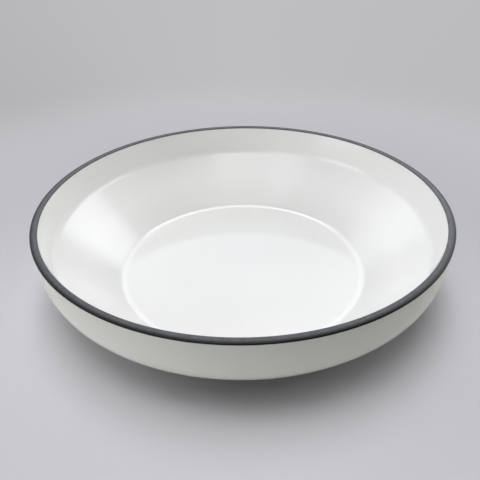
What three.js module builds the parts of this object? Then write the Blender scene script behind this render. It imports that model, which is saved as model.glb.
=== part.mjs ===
// A shallow stoneware bowl for serving: a turned clay body, glossy white glaze inside and out,
// a matte charcoal band over the lip, and a bare clay foot ring with a glazed disc inside it.
// Millimetres, +Z up. The origin is on the bowl's axis, on the surface that the foot stands on.
import * as THREE from "three";

// Lip and heights
const RIM_RADIUS = 115; // axis to the outside of the lip
const LIP_WIDTH = 3.8;
const WELL_DEPTH = 47; // lip edge down to the flat of the well
const BASE_THICKNESS = 6; // flat of the well down to the glazed underside
const FOOT_HEIGHT = 3.5; // glazed underside down to the table

// Inside: a steep wall, a knee, a bowed slope and a flat well
const WALL_DEPTH = 16.7; // lip edge down to the knee
const WALL_INSET = 4.1; // how far the wall leans in over that depth
const KNEE_BLEND = 2.4; // length of each leg of the rounding at the knee
const SLOPE_BOW = 0.8; // how far the slope bows out from a straight line
const WELL_RADIUS = 73.8;
const WELL_BLEND = 2.6; // length of each leg of the rounding round the well

// Outside: an upright wall, a rounded shoulder and an underside that runs in to the foot
const SHOULDER_DROP = 20.2; // lip edge down to the shoulder's corner
const SHOULDER_INSET = 1.3; // how far the wall leans in over that drop
const SHOULDER_BLEND = 4.6; // length of each leg of the rounding at the shoulder
const UNDERSIDE_BOW = 2.8; // how far the underside bows out from a straight line

// Foot ring, under the edge of the well
const FOOT_OUTSET = 2.2; // edge of the well out to where the outside glaze stops
const FOOT_WIDTH = 6;
const FOOT_TAPER = 0.8; // each side of the ring leans in by this much
const FOOT_EDGE = 0.9; // length of each leg of the rounding at the table

// Coats
const GLAZE = 0.5;
const BAND_RISE = 0.8; // crown of the charcoal band above the lip edge
const BOND_GAP = 0.05; // between a coat, or the foot ring, and the clay that it sits on

// Facets
const AROUND = 64;
const CURVE_STEPS = 5;
const BLEND_STEPS = 3;

const WELL_HEIGHT = FOOT_HEIGHT + BASE_THICKNESS;
const LIP_HEIGHT = WELL_HEIGHT + WELL_DEPTH;
const INNER_LIP_RADIUS = RIM_RADIUS - LIP_WIDTH;
const FOOT_RADIUS = WELL_RADIUS + FOOT_OUTSET;
const CLAY_DEPTH = GLAZE + BOND_GAP; // finished surface down to the clay

const at = (radius, height) => new THREE.Vector2(radius, height);
const line = (a, b) => new THREE.LineCurve(a, b);
const curve = (a, control, b) => new THREE.QuadraticBezierCurve(a, control, b);

// The point that lies a given distance from one point towards another.
function towards(from, to, distance) {
  const direction = to.clone().sub(from).normalize();
  return from.clone().addScaledVector(direction, distance);
}

// A rounded corner, whose legs run a given length back along the two lines that meet there.
function rounded(before, corner, after, leg) {
  return curve(towards(corner, before, leg), corner, towards(corner, after, leg));
}

// The control point that bows a line, drawn inwards from upper to lower, out and down.
function bowPoint(upper, lower, bow) {
  const along = lower.clone().sub(upper).normalize();
  const outward = at(-along.y, along.x);
  return upper.clone().add(lower).multiplyScalar(0.5).addScaledVector(outward, 2 * bow);
}

// Points along a chain of lines and curves, sunk into the clay on the chain's left-hand side.
function sunk(chain, depth) {
  const points = [];
  for (const [piece, steps] of chain) {
    const first = points.length ? 1 : 0;
    for (let i = first; i <= steps; i++) {
      const tangent = piece.getTangent(i / steps);
      const intoClay = at(-tangent.y, tangent.x);
      points.push(piece.getPoint(i / steps).addScaledVector(intoClay, depth));
    }
  }
  return points;
}

// The inside at a depth below its finished surface, from the lip down to the centre of the well.
function insideAt(depth) {
  const lip = at(INNER_LIP_RADIUS, LIP_HEIGHT);
  const knee = at(INNER_LIP_RADIUS - WALL_INSET, LIP_HEIGHT - WALL_DEPTH);
  const wellEdge = at(WELL_RADIUS, WELL_HEIGHT);
  const centre = at(0, WELL_HEIGHT);
  const slope = bowPoint(knee, wellEdge, SLOPE_BOW);
  const kneeRound = rounded(lip, knee, slope, KNEE_BLEND);
  const wellRound = rounded(slope, wellEdge, centre, WELL_BLEND);
  const points = sunk(
    [
      [line(lip, kneeRound.v0), 1],
      [kneeRound, BLEND_STEPS],
      [curve(kneeRound.v2, slope, wellRound.v0), CURVE_STEPS],
      [wellRound, BLEND_STEPS],
      [line(wellRound.v2, centre), 1],
    ],
    depth,
  );
  points[0].y = LIP_HEIGHT;
  return points;
}

// The outside at a depth below its finished surface, from over the foot ring up to the lip.
function outsideAt(depth) {
  const lip = at(RIM_RADIUS, LIP_HEIGHT);
  const shoulder = at(RIM_RADIUS - SHOULDER_INSET, LIP_HEIGHT - SHOULDER_DROP);
  const glazeEnd = at(FOOT_RADIUS, FOOT_HEIGHT);
  const underside = bowPoint(shoulder, glazeEnd, UNDERSIDE_BOW);
  const shoulderRound = rounded(underside, shoulder, lip, SHOULDER_BLEND);
  const points = sunk(
    [
      [curve(glazeEnd, underside, shoulderRound.v0), CURVE_STEPS],
      [shoulderRound, BLEND_STEPS],
      [line(shoulderRound.v2, lip), 1],
    ],
    depth,
  );
  points[0].y = FOOT_HEIGHT + depth;
  points[points.length - 1].y = LIP_HEIGHT;
  return points;
}

// Turns an outline about the bowl's axis. It starts and ends on the axis, or closes on itself.
function turned(outline) {
  return new THREE.LatheGeometry(outline, AROUND).rotateX(Math.PI / 2);
}

const closed = (outline) => [...outline, outline[0].clone()];

// Clay: out along the flat base, up the outside, over the flat lip and down the inside.
function clayBody() {
  const base = at(0, FOOT_HEIGHT + CLAY_DEPTH);
  return turned([base, ...outsideAt(CLAY_DEPTH), ...insideAt(CLAY_DEPTH)]);
}

function insideGlaze() {
  return turned([...insideAt(GLAZE).reverse(), ...insideAt(0)]);
}

function outsideGlaze() {
  return turned(closed([...outsideAt(0), ...outsideAt(GLAZE).reverse()]));
}

// The charcoal band lies flat on the lip and is softly crowned above.
function rimBand() {
  const inner = at(INNER_LIP_RADIUS, LIP_HEIGHT + BOND_GAP);
  const outer = at(RIM_RADIUS, LIP_HEIGHT + BOND_GAP);
  const crown = at(RIM_RADIUS - LIP_WIDTH / 2, LIP_HEIGHT + BAND_RISE);
  const outerHalf = curve(outer, at(outer.x, crown.y), crown).getPoints(BLEND_STEPS);
  const innerHalf = curve(crown, at(inner.x, crown.y), inner).getPoints(BLEND_STEPS);
  return turned([inner, ...outerHalf, ...innerHalf.slice(1)]);
}

// The foot ring's seat on the clay, and its sides there, just clear of the glaze beside it.
const RING_SEAT = FOOT_HEIGHT + GLAZE;
const RING_OUTER = outsideAt(GLAZE)[0].x - BOND_GAP;
const RING_INNER = RING_OUTER - FOOT_WIDTH;

function footRing() {
  const outerTop = at(RING_OUTER, RING_SEAT);
  const innerTop = at(RING_INNER, RING_SEAT);
  const outerToe = at(RING_OUTER - FOOT_TAPER, 0);
  const innerToe = at(RING_INNER + FOOT_TAPER, 0);
  const innerEdge = rounded(innerTop, innerToe, outerToe, FOOT_EDGE).getPoints(BLEND_STEPS);
  const outerEdge = rounded(innerToe, outerToe, outerTop, FOOT_EDGE).getPoints(BLEND_STEPS);
  return turned(closed([innerTop, ...innerEdge, ...outerEdge, outerTop]));
}

// The disc of glaze on the underside, inside the foot ring.
function baseGlaze() {
  const edge = RING_INNER - BOND_GAP;
  return turned([
    at(0, FOOT_HEIGHT),
    at(edge, FOOT_HEIGHT),
    at(edge, FOOT_HEIGHT + GLAZE),
    at(0, FOOT_HEIGHT + GLAZE),
  ]);
}

const finish = (color, roughness) =>
  new THREE.MeshStandardMaterial({ color, roughness, metalness: 0 });
const WHITE_GLAZE = finish(0xeceee9, 0.14);
const CHARCOAL = finish(0x3c3f42, 0.6);
const BARE_CLAY = finish(0xb9b1a4, 0.9);

const bowl = new THREE.Group();
for (const [name, geometry, material] of [
  ["clay_body", clayBody(), BARE_CLAY.clone()],
  ["inside_glaze", insideGlaze(), WHITE_GLAZE.clone()],
  ["outside_glaze", outsideGlaze(), WHITE_GLAZE.clone()],
  ["rim_band", rimBand(), CHARCOAL.clone()],
  ["foot_ring", footRing(), BARE_CLAY.clone()],
  ["base_glaze", baseGlaze(), WHITE_GLAZE.clone()],
]) {
  const mesh = new THREE.Mesh(geometry, material);
  mesh.name = name;
  bowl.add(mesh);
}

export default bowl;
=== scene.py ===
import math

import bmesh
import bpy
from mathutils import Matrix, Vector


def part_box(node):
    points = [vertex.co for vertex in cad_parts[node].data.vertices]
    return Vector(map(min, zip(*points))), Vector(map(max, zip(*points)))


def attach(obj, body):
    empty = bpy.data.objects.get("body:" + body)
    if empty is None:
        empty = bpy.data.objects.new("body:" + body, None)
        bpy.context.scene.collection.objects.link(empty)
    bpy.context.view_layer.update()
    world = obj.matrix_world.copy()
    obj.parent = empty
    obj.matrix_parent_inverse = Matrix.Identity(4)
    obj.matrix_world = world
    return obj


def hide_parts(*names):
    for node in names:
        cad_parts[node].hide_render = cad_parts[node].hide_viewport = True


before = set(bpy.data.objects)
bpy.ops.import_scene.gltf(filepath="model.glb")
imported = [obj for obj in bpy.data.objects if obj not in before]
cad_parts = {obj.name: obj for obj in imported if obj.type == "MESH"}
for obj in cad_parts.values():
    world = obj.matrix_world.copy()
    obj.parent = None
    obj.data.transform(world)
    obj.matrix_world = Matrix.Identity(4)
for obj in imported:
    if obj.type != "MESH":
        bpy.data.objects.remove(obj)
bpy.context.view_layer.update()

# A shallow stoneware bowl: glossy white glaze inside and out, a matte charcoal lip, a bare foot.
# Every outline is drawn as (radius, height) and turned about the bowl's axis.

MM = 0.001

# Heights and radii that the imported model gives
RIM_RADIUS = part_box("outside_glaze")[1].x
LIP_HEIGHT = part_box("outside_glaze")[1].z
BAND_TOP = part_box("rim_band")[1].z
FOOT_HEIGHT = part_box("base_glaze")[0].z
BASE_GLAZE_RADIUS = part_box("base_glaze")[1].x
RING_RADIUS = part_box("foot_ring")[1].x
RING_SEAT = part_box("foot_ring")[1].z

# Coats
GLAZE = 0.5 * MM
BOND_GAP = 0.05 * MM
CLAY_DEPTH = GLAZE + BOND_GAP
WELL_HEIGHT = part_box("inside_glaze")[0].z + GLAZE

# Inside: a steep wall, a knee, a bowed slope and a flat well
LIP_WIDTH = 3.8 * MM
WALL_DEPTH = 16.7 * MM
WALL_INSET = 4.1 * MM
KNEE_BLEND = 2.4 * MM
SLOPE_BOW = 0.8 * MM
WELL_RADIUS = 73.8 * MM
WELL_BLEND = 2.6 * MM
INNER_LIP_RADIUS = RIM_RADIUS - LIP_WIDTH

# Outside: an upright wall, a rounded shoulder and an underside that runs in to the foot
SHOULDER_DROP = 20.2 * MM
SHOULDER_INSET = 1.3 * MM
SHOULDER_BLEND = 4.6 * MM
UNDERSIDE_BOW = 2.8 * MM
FOOT_OUTSET = 2.2 * MM
FOOT_RADIUS = WELL_RADIUS + FOOT_OUTSET

# Charcoal band
BAND_OUTER_EDGE = 1.1 * MM
BAND_INNER_EDGE = 0.5 * MM

# Foot ring
FOOT_WIDTH = 6.0 * MM
FOOT_TAPER = 0.8 * MM
FOOT_EDGE = 0.9 * MM

# Steps round the bowl and along its curves
AROUND = 256
BLEND_STEPS = 10
CURVE_STEPS = 28
WALL_STEPS = 6
BAND_STEPS = 12
MERGE = 0.001 * MM
SHARP_ANGLE = math.radians(40)


def at(radius, height):
    return Vector((radius, height))


def towards(start, end, distance):
    return start + (end - start).normalized() * distance


def curve(start, corner, end, steps, depth=0.0):
    """Points from start to end on a curve that bends at corner, sunk to its left by depth."""
    points = []
    for step in range(steps + 1):
        share = step / steps
        first = start.lerp(corner, share)
        second = corner.lerp(end, share)
        along = (second - first).normalized()
        points.append(first.lerp(second, share) + depth * at(-along.y, along.x))
    return points


def line(start, end, steps, depth=0.0):
    return curve(start, (start + end) / 2, end, steps, depth)


def bow_point(upper, lower, bow):
    """The corner that bows a line, drawn inwards from upper to lower, out and down."""
    along = (lower - upper).normalized()
    return (upper + lower) / 2 + 2 * bow * at(-along.y, along.x)


def chained(*stretches):
    """Stretches that follow each other, with each shared end kept once."""
    points = list(stretches[0])
    for stretch in stretches[1:]:
        points += stretch[1:]
    return points


def inside_outline(depth):
    """The inside at a depth below its surface, from the lip down to the centre of the well."""
    lip = at(INNER_LIP_RADIUS, LIP_HEIGHT)
    knee = at(INNER_LIP_RADIUS - WALL_INSET, LIP_HEIGHT - WALL_DEPTH)
    well_edge = at(WELL_RADIUS, WELL_HEIGHT)
    centre = at(0, WELL_HEIGHT)
    slope = bow_point(knee, well_edge, SLOPE_BOW)
    over_knee = towards(knee, lip, KNEE_BLEND)
    under_knee = towards(knee, slope, KNEE_BLEND)
    over_well = towards(well_edge, slope, WELL_BLEND)
    in_well = towards(well_edge, centre, WELL_BLEND)
    points = chained(
        line(lip, over_knee, WALL_STEPS, depth),
        curve(over_knee, knee, under_knee, BLEND_STEPS, depth),
        curve(under_knee, slope, over_well, CURVE_STEPS, depth),
        curve(over_well, well_edge, in_well, BLEND_STEPS, depth),
        line(in_well, centre, WALL_STEPS, depth),
    )
    points[0].y = LIP_HEIGHT
    return points


def outside_outline(depth):
    """The outside at a depth below its surface, from over the foot ring up to the lip."""
    lip = at(RIM_RADIUS, LIP_HEIGHT)
    shoulder = at(RIM_RADIUS - SHOULDER_INSET, LIP_HEIGHT - SHOULDER_DROP)
    glaze_end = at(FOOT_RADIUS, FOOT_HEIGHT)
    underside = bow_point(shoulder, glaze_end, UNDERSIDE_BOW)
    under_shoulder = towards(shoulder, underside, SHOULDER_BLEND)
    over_shoulder = towards(shoulder, lip, SHOULDER_BLEND)
    points = chained(
        curve(glaze_end, underside, under_shoulder, CURVE_STEPS, depth),
        curve(under_shoulder, shoulder, over_shoulder, BLEND_STEPS, depth),
        line(over_shoulder, lip, WALL_STEPS, depth),
    )
    points[0].y = FOOT_HEIGHT + depth
    points[-1].y = LIP_HEIGHT
    return points


def turned(name, outline, finish, closed=False):
    """A piece turned from an outline that starts and ends on the axis, or closes on itself."""
    shape = bmesh.new()
    corners = [shape.verts.new((point.x, 0, point.y)) for point in outline]
    following = corners[1:] + corners[:1] if closed else corners[1:]
    edges = [shape.edges.new(pair) for pair in zip(corners, following)]
    bmesh.ops.spin(
        shape, geom=corners + edges, cent=(0, 0, 0), axis=(0, 0, 1),
        angle=2 * math.pi, steps=AROUND, use_merge=True,
    )
    bmesh.ops.remove_doubles(shape, verts=shape.verts, dist=MERGE)
    bmesh.ops.recalc_face_normals(shape, faces=shape.faces)
    mesh = bpy.data.meshes.new(name)
    shape.to_mesh(mesh)
    shape.free()
    mesh.shade_smooth()
    mesh.set_sharp_from_angle(angle=SHARP_ANGLE)
    mesh.materials.append(finish)
    piece = bpy.data.objects.new(name, mesh)
    bpy.context.scene.collection.objects.link(piece)
    return piece


# Materials

def blank_finish(name):
    """An empty material with its tree, its shader and the piece's own coordinates."""
    finish = bpy.data.materials.new(name)
    finish.use_nodes = True
    tree = finish.node_tree
    where = tree.nodes.new("ShaderNodeTexCoord").outputs["Object"]
    return finish, tree, tree.nodes["Principled BSDF"], where


def noise(tree, where, scale, detail=2.0, rough=0.5):
    """A cloudy pattern, with scale in turns to the metre."""
    texture = tree.nodes.new("ShaderNodeTexNoise")
    tree.links.new(where, texture.inputs["Vector"])
    texture.inputs["Scale"].default_value = scale
    texture.inputs["Detail"].default_value = detail
    texture.inputs["Roughness"].default_value = rough
    return texture.outputs["Fac"]


def ramp(tree, value, first, *stops):
    """Colours between stops, each a place and a colour."""
    texture = tree.nodes.new("ShaderNodeValToRGB")
    tree.links.new(value, texture.inputs["Fac"])
    elements = texture.color_ramp.elements
    elements.remove(elements[1])
    elements[0].position = first[0]
    elements[0].color = (*first[1], 1.0)
    for place, colour in stops:
        elements.new(place).color = (*colour, 1.0)
    return texture.outputs["Color"]


def spread(tree, value, low, high):
    """A pattern from 0 to 1 laid out between two numbers."""
    texture = tree.nodes.new("ShaderNodeMapRange")
    tree.links.new(value, texture.inputs["Value"])
    texture.inputs["To Min"].default_value = low
    texture.inputs["To Max"].default_value = high
    return texture.outputs["Result"]


def reached(tree, value, start, end, smooth=False):
    """How far a number has come from start to end, from 0 to 1."""
    texture = tree.nodes.new("ShaderNodeMapRange")
    if smooth:
        texture.interpolation_type = "SMOOTHSTEP"
    tree.links.new(value, texture.inputs["Value"])
    texture.inputs["From Min"].default_value = start
    texture.inputs["From Max"].default_value = end
    return texture.outputs["Result"]


def from_axis(tree, where):
    """Distance from the bowl's axis."""
    level = tree.nodes.new("ShaderNodeVectorMath")
    level.operation = "MULTIPLY"
    level.inputs[1].default_value = (1, 1, 0)
    tree.links.new(where, level.inputs[0])
    length = tree.nodes.new("ShaderNodeVectorMath")
    length.operation = "LENGTH"
    tree.links.new(level.outputs["Vector"], length.inputs[0])
    return length.outputs["Value"]


def above_table(tree, where):
    """Height above the table."""
    split = tree.nodes.new("ShaderNodeSeparateXYZ")
    tree.links.new(where, split.inputs["Vector"])
    return split.outputs["Z"]


def relief(tree, value, depth, strength):
    """A small relief of a depth in metres."""
    bump = tree.nodes.new("ShaderNodeBump")
    tree.links.new(value, bump.inputs["Height"])
    bump.inputs["Distance"].default_value = depth
    bump.inputs["Strength"].default_value = strength
    return bump.outputs["Normal"]


def multiplied(tree, first, second):
    mix = tree.nodes.new("ShaderNodeMix")
    mix.data_type = "RGBA"
    mix.blend_type = "MULTIPLY"
    mix.inputs[0].default_value = 1.0
    tree.links.new(first, mix.inputs[6])
    tree.links.new(second, mix.inputs[7])
    return mix.outputs[2]


def blended(tree, share, first, second):
    """One colour that passes into another as a share goes from 0 to 1."""
    mix = tree.nodes.new("ShaderNodeMix")
    mix.data_type = "RGBA"
    tree.links.new(share, mix.inputs[0])
    for socket, colour in ((mix.inputs[6], first), (mix.inputs[7], second)):
        if isinstance(colour, tuple):
            socket.default_value = (*colour, 1.0)
        else:
            tree.links.new(colour, socket)
    return mix.outputs[2]


def paired(tree, operation, first, second):
    """The product, the greater or the like of two numbers."""
    result = tree.nodes.new("ShaderNodeMath")
    result.operation = operation
    tree.links.new(first, result.inputs[0])
    tree.links.new(second, result.inputs[1])
    return result.outputs["Value"]


def looked_at(tree):
    """1 for a ray that shows a surface, straight, in gloss or through glass, and 0 for others."""
    ray = tree.nodes.new("ShaderNodeLightPath").outputs
    straight = paired(tree, "MAXIMUM", ray["Is Camera Ray"], ray["Is Glossy Ray"])
    return paired(tree, "MAXIMUM", straight, ray["Is Transmission Ray"])


# How pale the white glaze is at millimetres from the axis: darker towards the centre of the well,
# with a pale painted highlight round the edge of the well and painted shade on the slope just
# outside it
PAINTED_RING_TONES = (
    (0.0, 0.87), (40.0, 0.885), (60.0, 0.925), (70.8, 0.95), (71.6, 1.0), (73.8, 1.0),
    (74.9, 0.88), (80.5, 0.895), (92.0, 0.94),
)
LIP_SHADE_DROP = 17 * MM  # how far down from the lip the outside carries painted shade
OUTER_WALL = 2 * MM  # the outside wall lies within this of the lip's outer edge


def white_glaze():
    """Glossy white glaze, with a painted highlight and shade round the well's edge and painted shade
    outside under the lip.
    """
    finish, tree, shader, where = blank_finish("white_glaze")
    drift = noise(tree, where, scale=22, detail=3)
    tone = ramp(tree, drift, (0.3, (0.875, 0.875, 0.845)), (0.7, (0.895, 0.895, 0.865)))
    out = from_axis(tree, where)
    stops = [(place * MM / RIM_RADIUS, (pale, pale, pale)) for place, pale in PAINTED_RING_TONES]
    # Painted highlight round the edge of the well, painted shade on the slope just outside it
    painted_ring = ramp(tree, reached(tree, out, 0.0, RIM_RADIUS), *stops)
    # Painted shade: the outside is darker and warmer over its top, just under the lip
    by_lip = reached(tree, above_table(tree, where), LIP_HEIGHT - LIP_SHADE_DROP, LIP_HEIGHT)
    outside = reached(tree, out, INNER_LIP_RADIUS, RIM_RADIUS - OUTER_WALL)
    lip_shade_share = paired(tree, "MULTIPLY", by_lip, outside)
    lip_shade = ramp(tree, lip_shade_share, (0.0, (1.0, 1.0, 1.0)), (1.0, (0.90, 0.90, 0.88)))
    coat = multiplied(tree, multiplied(tree, tone, painted_ring), lip_shade)
    tree.links.new(coat, shader.inputs["Base Color"])
    polish = noise(tree, where, scale=60, detail=3)
    tree.links.new(spread(tree, polish, 0.07, 0.10), shader.inputs["Roughness"])
    ripple = noise(tree, where, scale=130, detail=2)
    tree.links.new(relief(tree, ripple, 0.03 * MM, 0.4), shader.inputs["Normal"])
    return finish


def charcoal_band():
    """Satin charcoal glaze with fine pits, a painted sheen paler on top, painted shade near black at
    its outer edge.
    """
    finish, tree, shader, where = blank_finish("charcoal_band")
    across = reached(tree, from_axis(tree, where), INNER_LIP_RADIUS, RIM_RADIUS)
    # Painted sheen and shade: paler across the inner top, near black at the outer edge
    painted_sheen_and_shade = ramp(
        tree, across, (0.0, (0.112, 0.116, 0.126)), (0.48, (0.094, 0.097, 0.106)),
        (0.72, (0.028, 0.029, 0.031)), (0.90, (0.006, 0.006, 0.007)),
    )
    mottle = noise(tree, where, scale=320, detail=4, rough=0.6)
    cloud = ramp(tree, mottle, (0.32, (0.72, 0.72, 0.72)), (0.68, (1.0, 1.0, 1.0)))
    pit = noise(tree, where, scale=900, detail=1)
    pits = ramp(tree, pit, (0.25, (0.2, 0.2, 0.2)), (0.31, (1.0, 1.0, 1.0)))
    tone = multiplied(tree, multiplied(tree, painted_sheen_and_shade, cloud), pits)
    tree.links.new(tone, shader.inputs["Base Color"])
    shader.inputs["Specular IOR Level"].default_value = 0.16
    grain = noise(tree, where, scale=1400, detail=3, rough=0.6)
    tree.links.new(spread(tree, grain, 0.32, 0.46), shader.inputs["Roughness"])
    tree.links.new(relief(tree, grain, 0.10 * MM, 0.4), shader.inputs["Normal"])
    return finish


def bare_clay():
    """Unglazed fired clay, grey buff, with dark specks and a fine grain."""
    finish, tree, shader, where = blank_finish("bare_clay")
    drift = noise(tree, where, scale=45, detail=4)
    tone = ramp(tree, drift, (0.3, (0.44, 0.395, 0.33)), (0.7, (0.53, 0.48, 0.41)))
    fleck = noise(tree, where, scale=900, detail=2)
    specks = ramp(tree, fleck, (0.30, (0.45, 0.42, 0.38)), (0.38, (1.0, 1.0, 1.0)))
    tree.links.new(multiplied(tree, tone, specks), shader.inputs["Base Color"])
    grain = noise(tree, where, scale=1800, detail=4, rough=0.65)
    tree.links.new(spread(tree, grain, 0.82, 0.95), shader.inputs["Roughness"])
    tree.links.new(relief(tree, grain, 0.1 * MM, 0.6), shader.inputs["Normal"])
    return finish


# Greys of the table: what it throws back, round the bowl, and at the horizon and beyond it
TABLE_BOUNCE = (0.735, 0.727, 0.70)
TABLE_NEAR = (0.58, 0.574, 0.606)
BACKDROP = (0.48, 0.478, 0.497)

# Metres from the axis at which the shadow, the near grey and the far grey begin to fade and are gone
SHADOW_FADE = (0.13, 0.36)
NEAR_FADE = (0.20, 0.50)
FAR_FADE = (1.4, 3.5)


def far_off(finish, where):
    """Away from the bowl and its shadow, the table shows as a pale grey that changes little."""
    tree = finish.node_tree
    distance = from_axis(tree, where)
    clear = reached(tree, distance, *SHADOW_FADE, smooth=True)
    turn = tree.nodes.new("ShaderNodeTexGradient")
    turn.gradient_type = "RADIAL"
    tree.links.new(where, turn.inputs["Vector"])
    far = ramp(
        tree, turn.outputs["Fac"], (0.0, BACKDROP), (0.64, (0.497, 0.494, 0.513)),
        (0.75, (0.522, 0.519, 0.538)), (0.80, (0.503, 0.500, 0.519)),
        (0.86, (0.458, 0.455, 0.474)), (1.0, BACKDROP),
    )
    middle = blended(tree, reached(tree, distance, *NEAR_FADE, smooth=True), TABLE_NEAR, far)
    grey = blended(tree, reached(tree, distance, *FAR_FADE, smooth=True), middle, BACKDROP)
    glow = tree.nodes.new("ShaderNodeEmission")
    tree.links.new(grey, glow.inputs["Color"])
    blend = tree.nodes.new("ShaderNodeMixShader")
    tree.links.new(paired(tree, "MULTIPLY", clear, looked_at(tree)), blend.inputs["Fac"])
    tree.links.new(tree.nodes["Principled BSDF"].outputs["BSDF"], blend.inputs[1])
    tree.links.new(glow.outputs["Emission"], blend.inputs[2])
    tree.links.new(blend.outputs["Shader"], tree.nodes["Material Output"].inputs["Surface"])


def table_grey():
    """The plain pale surface that the bowl stands on."""
    finish, tree, shader, where = blank_finish("table_grey")
    drift = noise(tree, where, scale=3, detail=2)
    shown = ramp(tree, drift, (0.2, (0.73, 0.722, 0.763)), (0.8, (0.74, 0.732, 0.773)))
    seen = tree.nodes.new("ShaderNodeLightPath").outputs["Is Camera Ray"]
    tree.links.new(blended(tree, seen, TABLE_BOUNCE, shown), shader.inputs["Base Color"])
    shader.inputs["Roughness"].default_value = 0.9
    shader.inputs["Specular IOR Level"].default_value = 0.1
    far_off(finish, where)
    return finish


WHITE = white_glaze()
CHARCOAL = charcoal_band()
CLAY = bare_clay()


# Pieces

BOWL_ALONE = bpy.data.collections.new("bowl_alone")


def fitted(piece, node):
    """The piece takes its CAD node's place, hides that node and joins the bowl's own collection."""
    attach(piece, "root")
    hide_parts(node)
    BOWL_ALONE.objects.link(piece)


def fired_body():
    base = at(0, FOOT_HEIGHT + CLAY_DEPTH)
    outline = [base] + outside_outline(CLAY_DEPTH) + inside_outline(CLAY_DEPTH)
    fitted(turned("fired_body", outline, CLAY), "clay_body")


def glazed_inside():
    outline = inside_outline(GLAZE)[::-1] + inside_outline(0)
    fitted(turned("glazed_inside", outline, WHITE), "inside_glaze")


def glazed_outside():
    outline = outside_outline(0) + outside_outline(GLAZE)[::-1]
    fitted(turned("glazed_outside", outline, WHITE, closed=True), "outside_glaze")


def charcoal_lip():
    """The band lies flat on the lip, with a wide round edge outside and a small one inside."""
    inner = at(INNER_LIP_RADIUS, LIP_HEIGHT + BOND_GAP)
    outer = at(RIM_RADIUS, LIP_HEIGHT + BOND_GAP)
    outer_top = at(outer.x - BAND_OUTER_EDGE, BAND_TOP)
    inner_top = at(inner.x + BAND_INNER_EDGE, BAND_TOP)
    dome = chained(
        curve(outer, at(outer.x, BAND_TOP), outer_top, BAND_STEPS),
        line(outer_top, inner_top, WALL_STEPS),
        curve(inner_top, at(inner.x, BAND_TOP), inner, BAND_STEPS),
    )
    fitted(turned("charcoal_lip", dome, CHARCOAL, closed=True), "rim_band")


def bare_foot():
    """The ring leans in a little on both sides and has rounded toes."""
    outer_top = at(RING_RADIUS, RING_SEAT)
    inner_top = at(RING_RADIUS - FOOT_WIDTH, RING_SEAT)
    outer_toe = at(RING_RADIUS - FOOT_TAPER, 0)
    inner_toe = at(RING_RADIUS - FOOT_WIDTH + FOOT_TAPER, 0)
    outline = [inner_top]
    outline += curve(
        towards(inner_toe, inner_top, FOOT_EDGE), inner_toe,
        towards(inner_toe, outer_toe, FOOT_EDGE), BLEND_STEPS,
    )
    outline += curve(
        towards(outer_toe, inner_toe, FOOT_EDGE), outer_toe,
        towards(outer_toe, outer_top, FOOT_EDGE), BLEND_STEPS,
    )
    outline.append(outer_top)
    fitted(turned("bare_foot", outline, CLAY, closed=True), "foot_ring")


def glazed_base():
    bottom = line(at(0, FOOT_HEIGHT), at(BASE_GLAZE_RADIUS, FOOT_HEIGHT), WALL_STEPS)
    top = line(at(BASE_GLAZE_RADIUS, FOOT_HEIGHT + GLAZE), at(0, FOOT_HEIGHT + GLAZE), WALL_STEPS)
    fitted(turned("glazed_base", bottom + top, WHITE), "base_glaze")


fired_body()
glazed_inside()
glazed_outside()
charcoal_lip()
bare_foot()
glazed_base()


# Table, camera and light

TABLE_SIZE = 8.0
TABLE_ALONE = bpy.data.collections.new("table_alone")


def table():
    shape = bmesh.new()
    bmesh.ops.create_grid(shape, x_segments=1, y_segments=1, size=TABLE_SIZE / 2)
    mesh = bpy.data.meshes.new("table")
    shape.to_mesh(mesh)
    shape.free()
    mesh.materials.append(table_grey())
    surface = bpy.data.objects.new("table", mesh)
    bpy.context.scene.collection.objects.link(surface)
    TABLE_ALONE.objects.link(surface)


CAMERA_BACK = 242.9 * MM
CAMERA_UP = 189.1 * MM
CAMERA_PITCH = math.radians(33.61)
CAMERA_YAW = math.radians(0.344)
CAMERA_ROLL = math.radians(-0.864)
CAMERA_LENS = 36.0  # in millimetres, with a sensor as wide as the lens is long
CAMERA_NEAR = 10 * MM


def camera():
    lens = bpy.data.cameras.new("camera")
    lens.lens = CAMERA_LENS
    lens.sensor_width = CAMERA_LENS
    lens.clip_start = CAMERA_NEAR
    seen = bpy.data.objects.new("camera", lens)
    bpy.context.scene.collection.objects.link(seen)
    seen.matrix_world = (
        Matrix.Translation((0, -CAMERA_BACK, CAMERA_UP))
        @ Matrix.Rotation(CAMERA_YAW, 4, "Z")
        @ Matrix.Rotation(math.pi / 2 - CAMERA_PITCH, 4, "X")
        @ Matrix.Rotation(CAMERA_ROLL, 4, "Z")
    )
    bpy.context.scene.camera = seen


SKYLIGHT = (0.87, 0.89, 1.0)
DAYLIGHT = (0.95, 0.96, 1.0)
PLAIN = (1.0, 1.0, 1.0)
LAMP_AWAY = 0.9  # in metres, from the middle of the mouth
HALF_FACE = 0.5


def soft_edged(lamp, edge):
    """Dims a lamp's face smoothly towards its sides, over a share of its width and height."""
    lamp.use_nodes = True
    tree = lamp.node_tree
    place = tree.nodes.new("ShaderNodeNewGeometry").outputs["Parametric"]
    face = tree.nodes.new("ShaderNodeSeparateXYZ")
    tree.links.new(place, face.inputs["Vector"])
    glow = tree.nodes.new("ShaderNodeMath")
    glow.operation = "MULTIPLY"
    for side in (0, 1):
        inwards = tree.nodes.new("ShaderNodeMath")
        inwards.operation = "PINGPONG"
        tree.links.new(face.outputs[side], inwards.inputs[0])
        inwards.inputs[1].default_value = HALF_FACE
        fade = tree.nodes.new("ShaderNodeMapRange")
        fade.interpolation_type = "SMOOTHSTEP"
        tree.links.new(inwards.outputs["Value"], fade.inputs["Value"])
        fade.inputs["From Max"].default_value = edge
        tree.links.new(fade.outputs["Result"], glow.inputs[side])
    tree.links.new(glow.outputs["Value"], tree.nodes["Emission"].inputs["Strength"])


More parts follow.
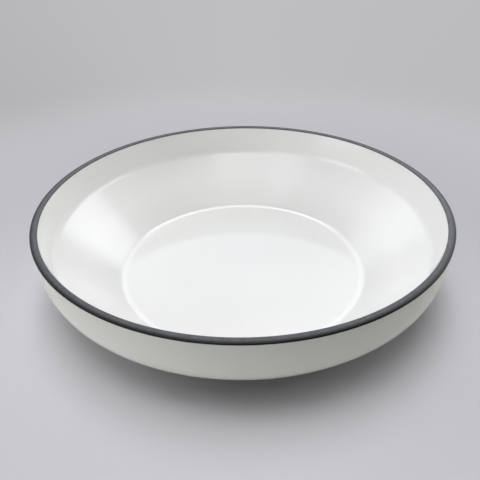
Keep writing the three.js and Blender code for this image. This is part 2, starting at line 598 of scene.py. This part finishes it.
def softbox(name, turn, lift, width, height, on, level, edge=0.4, tint=PLAIN):
    """A lamp seen from the bowl at a turn right of straight back and a lift above the table.

    The level is the brightness of its middle, with 1 for white. It lights one collection alone.
    """
    lamp = bpy.data.lights.new(name, "AREA")
    lamp.shape = "RECTANGLE"
    lamp.size = width
    lamp.size_y = height
    lamp.energy = level * math.pi * width * height
    lamp.color = tint
    soft_edged(lamp, edge)
    box = bpy.data.objects.new(name, lamp)
    bpy.context.scene.collection.objects.link(box)
    box.light_linking.receiver_collection = on
    side = math.radians(turn)
    up = math.radians(lift)
    out = Vector((math.sin(side) * math.cos(up), math.cos(side) * math.cos(up), math.sin(up)))
    box.location = Vector((0, 0, LIP_HEIGHT)) + LAMP_AWAY * out
    box.rotation_euler = out.to_track_quat("Z", "Y").to_euler()
    box.visible_camera = False


def room(level):
    """Dim even light from all round, behind the plain grey that the eye and the gloss see."""
    world = bpy.data.worlds.new("room")
    world.use_nodes = True
    tree = world.node_tree
    light = tree.nodes["Background"]
    light.inputs["Color"].default_value = (level, level, level, 1.0)
    backdrop = tree.nodes.new("ShaderNodeBackground")
    backdrop.inputs["Color"].default_value = (*BACKDROP, 1.0)
    blend = tree.nodes.new("ShaderNodeMixShader")
    tree.links.new(looked_at(tree), blend.inputs["Fac"])
    tree.links.new(light.outputs["Background"], blend.inputs[1])
    tree.links.new(backdrop.outputs["Background"], blend.inputs[2])
    tree.links.new(blend.outputs["Shader"], tree.nodes["World Output"].inputs["Surface"])
    bpy.context.scene.world = world


table()
camera()
room(level=0.01)

# Light for the bowl, which the glaze also mirrors
softbox("back", 0, 28, 1.20, 0.60, BOWL_ALONE, level=1.4, edge=0.3, tint=SKYLIGHT)
softbox("back_top", 4, 56, 0.90, 0.34, BOWL_ALONE, level=6.5, edge=0.35, tint=DAYLIGHT)
softbox("back_right", 46, 26, 0.80, 0.50, BOWL_ALONE, level=3.2, edge=0.3, tint=DAYLIGHT)
softbox("window", 52, 26, 0.40, 0.30, BOWL_ALONE, level=0.8)
softbox("back_left", -46, 26, 0.80, 0.50, BOWL_ALONE, level=1.3, edge=0.3, tint=DAYLIGHT)
softbox("right_side", 78, 30, 0.60, 0.60, BOWL_ALONE, level=3.2, edge=0.45)
softbox("right_low", 104, 10, 0.60, 0.35, BOWL_ALONE, level=1.0)
softbox("over_right", 110, 62, 0.60, 0.50, BOWL_ALONE, level=0.5, edge=0.45)
softbox("over_front", 172, 64, 0.50, 0.40, BOWL_ALONE, level=2.6, edge=0.35)
softbox("over_all", 180, 74, 1.30, 0.80, BOWL_ALONE, level=1.6, edge=0.45)
softbox("over_left", -140, 58, 0.75, 0.60, BOWL_ALONE, level=2.8, edge=0.45, tint=DAYLIGHT)
softbox("front_left", -145, 40, 0.60, 0.50, BOWL_ALONE, level=3.0, edge=0.45, tint=DAYLIGHT)
softbox("left_side", -104, 28, 1.00, 0.70, BOWL_ALONE, level=2.8, edge=0.5, tint=DAYLIGHT)
softbox("left_low", -106, 10, 1.00, 0.40, BOWL_ALONE, level=4.4, edge=0.5, tint=DAYLIGHT)

# Light for the table, which makes the bowl's shadow
softbox("table_front", 180, 70, 0.55, 0.80, TABLE_ALONE, level=7.2)
softbox("table_over", 0, 88, 0.50, 0.50, TABLE_ALONE, level=6.4, tint=DAYLIGHT)
softbox("table_front_left", -140, 65, 0.50, 0.50, TABLE_ALONE, level=3.0)
softbox("table_left", -95, 32, 0.60, 0.60, TABLE_ALONE, level=1.6)
softbox("table_right", 85, 32, 0.60, 0.60, TABLE_ALONE, level=0.8)
softbox("table_back", 0, 60, 0.60, 0.60, TABLE_ALONE, level=0.8)
softbox("table_back_low", 0, 35, 0.80, 0.60, TABLE_ALONE, level=0.6)

bpy.context.scene.view_settings.view_transform = "Standard"
